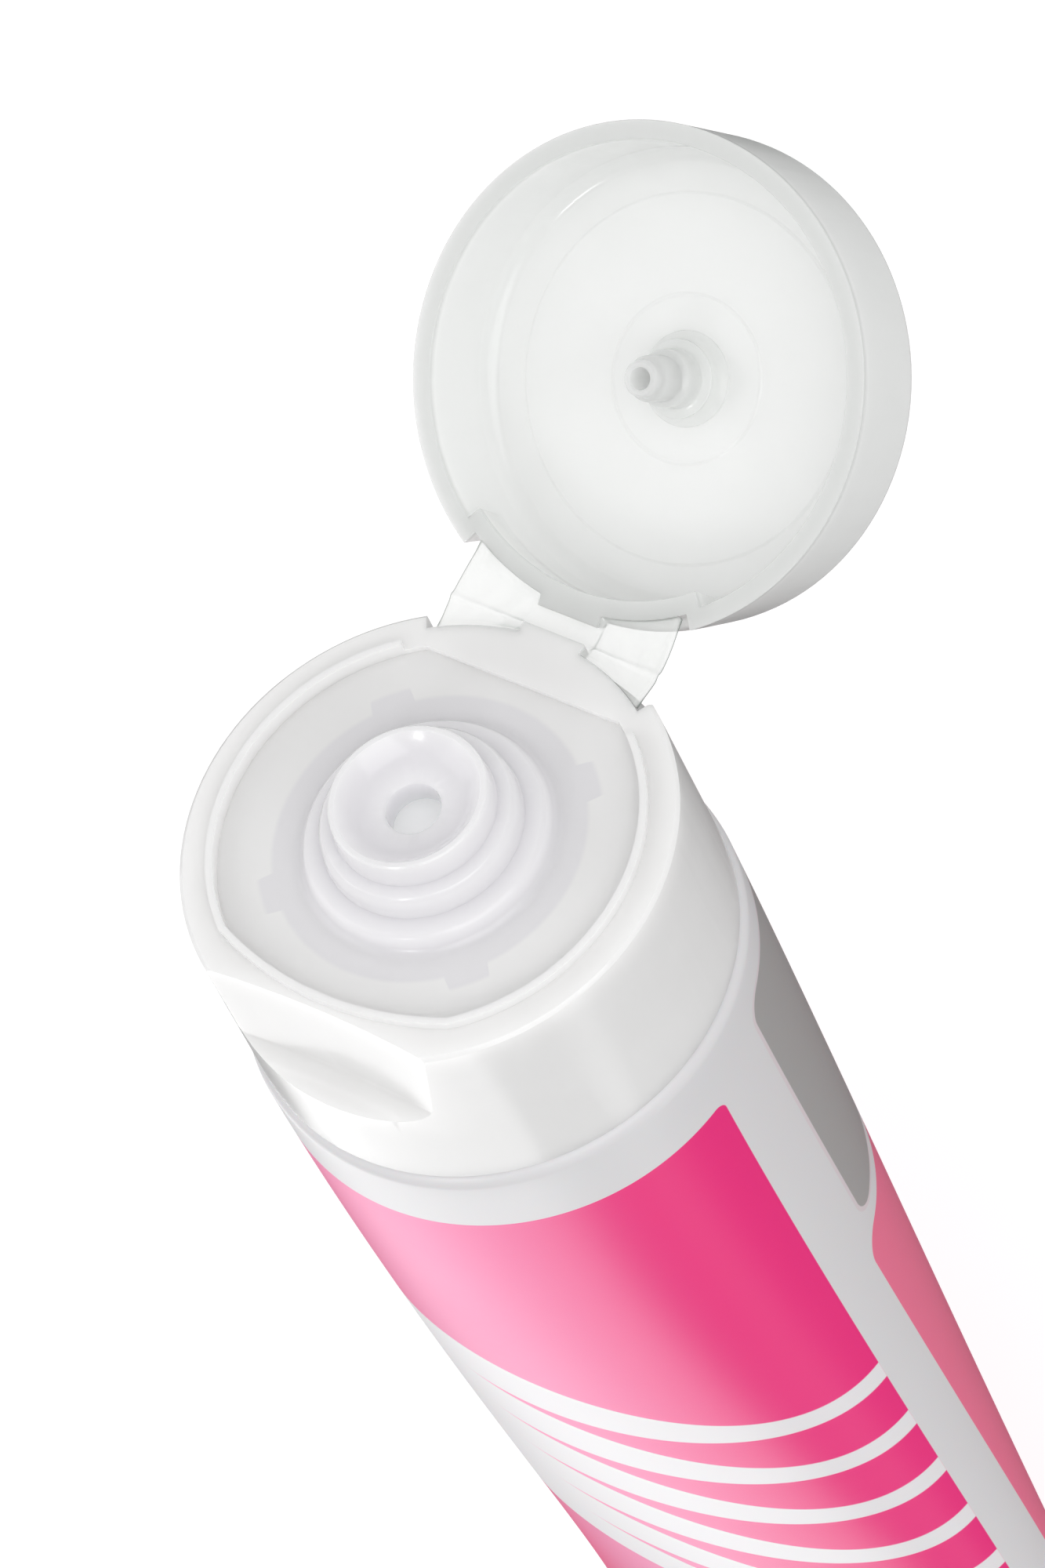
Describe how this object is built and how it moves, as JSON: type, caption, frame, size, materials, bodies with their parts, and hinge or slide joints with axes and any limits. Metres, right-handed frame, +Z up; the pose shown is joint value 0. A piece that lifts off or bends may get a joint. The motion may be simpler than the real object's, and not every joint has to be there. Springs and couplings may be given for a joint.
{
  "type": "lubricant tube",
  "caption": "Soft squeeze tube lying propped on its open lid: flattened welded end, milky cap with stepped nozzle, thumb recess and a round lid on a film hinge.",
  "frame": {"origin": "middle of the bounding box's footprint, on the ground that the part lies on", "axes": "+X from the sealed end towards the cap, +Z up, +Y across the tube to complete the set"},
  "size_m": [0.1898, 0.055, 0.0591],
  "materials": {
    "sleeve": "glossy white polyethylene sleeve, printed in pink with a white margin",
    "head": "natural polyethylene",
    "gel": "clear water-based gel",
    "cap": "milky natural polypropylene, semi-gloss",
    "hinge_film": "thin clear polypropylene, stretched"
  },
  "bodies": {
    "tube": {"tube_sleeve": "sleeve", "tube_head": "head", "gel_fill": "gel", "cap_base": "cap", "hinge_strip": "hinge_film", "hinge_strap_left": "hinge_film", "hinge_strap_right": "hinge_film"},
    "lid": {"lid": "cap"}
  },
  "joints": [
    {"name": "lid_hinge", "type": "hinge", "parent": "tube", "child": "lid", "pos_m": [0.06918, 0, 0.02825], "axis": [0, 1, 0], "range_deg": [-146, 34], "deforming": ["hinge_strip", "hinge_strap_left", "hinge_strap_right"]}
  ]
}
